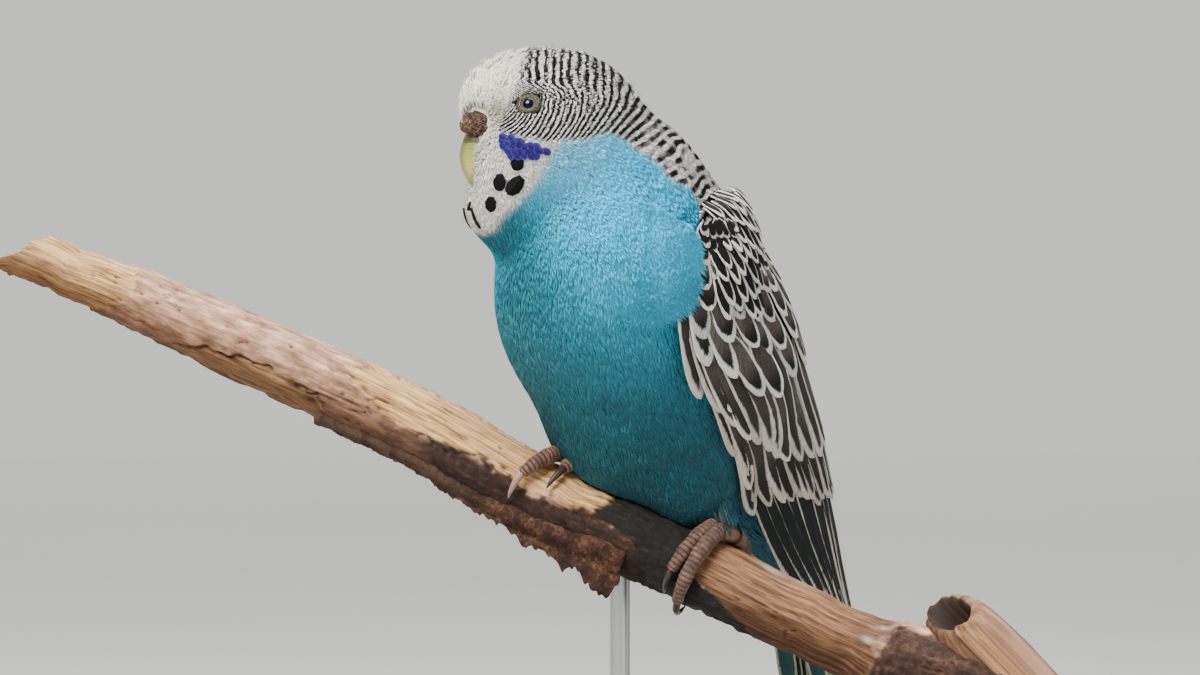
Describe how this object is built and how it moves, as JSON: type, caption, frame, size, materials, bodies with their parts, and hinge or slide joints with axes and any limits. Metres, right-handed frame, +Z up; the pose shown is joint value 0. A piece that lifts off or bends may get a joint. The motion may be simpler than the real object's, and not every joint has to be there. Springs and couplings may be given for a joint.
{
  "type": "budgerigar",
  "caption": "Still life-size budgerigar in sky-blue and white barred plumage, perched on a cut length of branch held by a rod on a round base.",
  "frame": {"origin": "centre of the stand's underside", "axes": "+Z up, -Y towards the side the bird is seen from in the picture, +X to that viewer's right, towards the branch's lower end"},
  "size_m": [0.2282, 0.104, 0.2082],
  "materials": {
    "white_plumage": "soft cream-white feathers barred with black",
    "blue_plumage": "soft sky-blue feathers, teal on the belly",
    "barred_plumage": "black feathers with cream edges",
    "tail_plumage": "dark blue feathers, satin",
    "eye": "wet gloss",
    "cere": "dry brown crust",
    "bill": "satin olive horn",
    "foot": "scaly pinkish brown skin",
    "claw": "dark horn",
    "branch": "weathered, partly peeled bark",
    "stand_base": "dark satin lacquer",
    "stand_rod": "brushed"
  },
  "bodies": {
    "root": {"head": "white_plumage", "neck": "blue_plumage", "torso": "blue_plumage", "wing_left": "barred_plumage", "wing_right": "barred_plumage", "tail": "tail_plumage", "eye_left": "eye", "eye_right": "eye", "cere": "cere", "bill_upper": "bill", "bill_lower": "bill", "leg_left": "foot", "leg_right": "foot", "foot_left": "foot", "foot_right": "foot", "claw_left_front_inner": "claw", "claw_left_front_outer": "claw", "claw_left_back_inner": "claw", "claw_left_back_outer": "claw", "claw_right_front_inner": "claw", "claw_right_front_outer": "claw", "claw_right_back_inner": "claw", "claw_right_back_outer": "claw", "perch_branch": "branch", "perch_loose_bark": "branch", "stand_base": "stand_base", "stand_rod": "stand_rod"}
  },
  "joints": []
}
